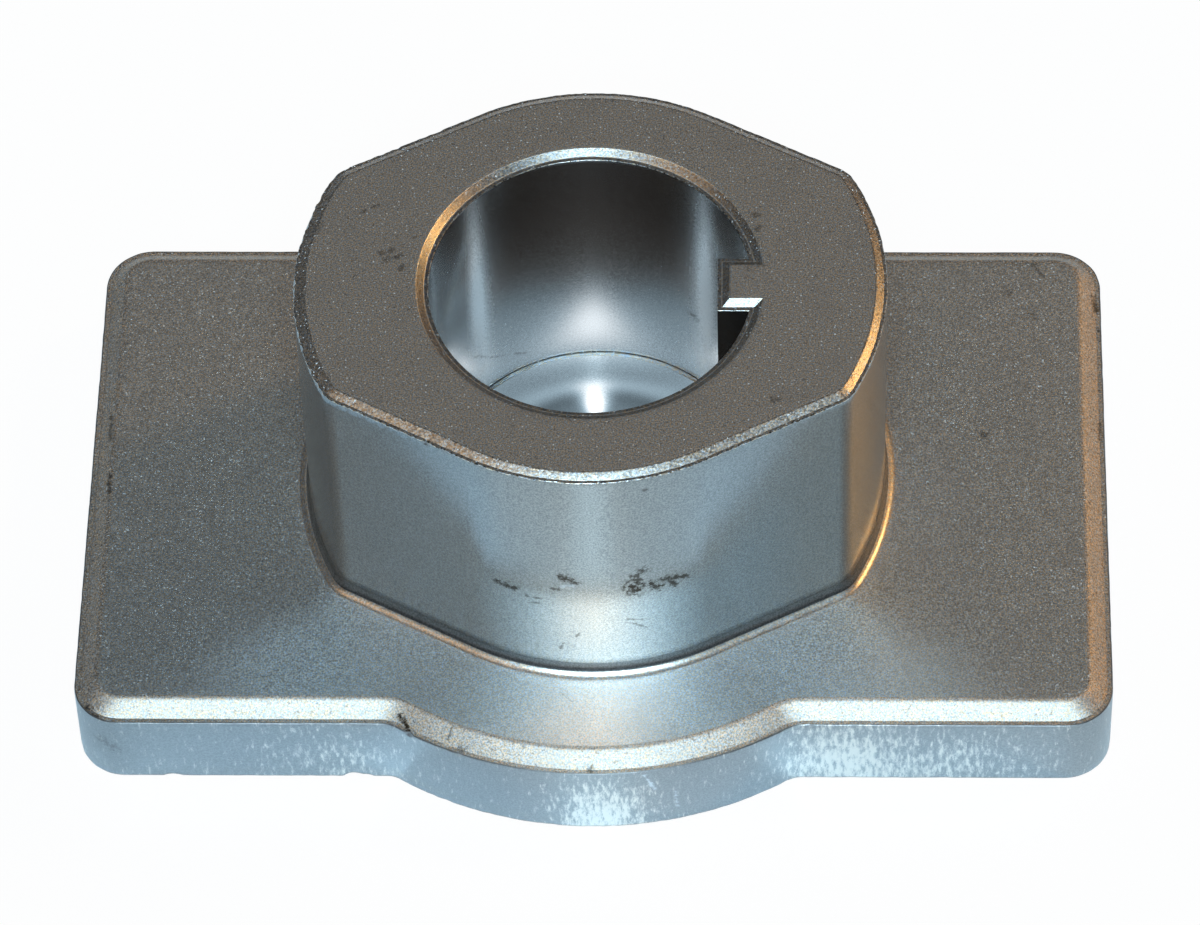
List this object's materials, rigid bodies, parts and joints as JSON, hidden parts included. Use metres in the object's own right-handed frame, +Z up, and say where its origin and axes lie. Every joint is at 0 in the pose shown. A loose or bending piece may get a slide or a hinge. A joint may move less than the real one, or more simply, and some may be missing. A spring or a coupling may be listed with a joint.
{
  "type": "mower blade adapter",
  "caption": "One-piece sintered iron blade adapter: oblong plate with bulged sides and a flatted hub whose keyed bore takes a mower's crankshaft end.",
  "frame": {"origin": "on the bore's axis, in the plane of the flat underside", "axes": "+Z up along the bore, out of the hub; +X along the plate's length, towards the key; +Y across the plate"},
  "size_m": [0.0724, 0.0508, 0.029],
  "materials": {
    "sintered_iron": "bare pressed and sintered iron: fine grain on the pressed faces, smooth streaked walls"
  },
  "bodies": {
    "root": {"blade_adapter": "sintered_iron"}
  },
  "joints": []
}
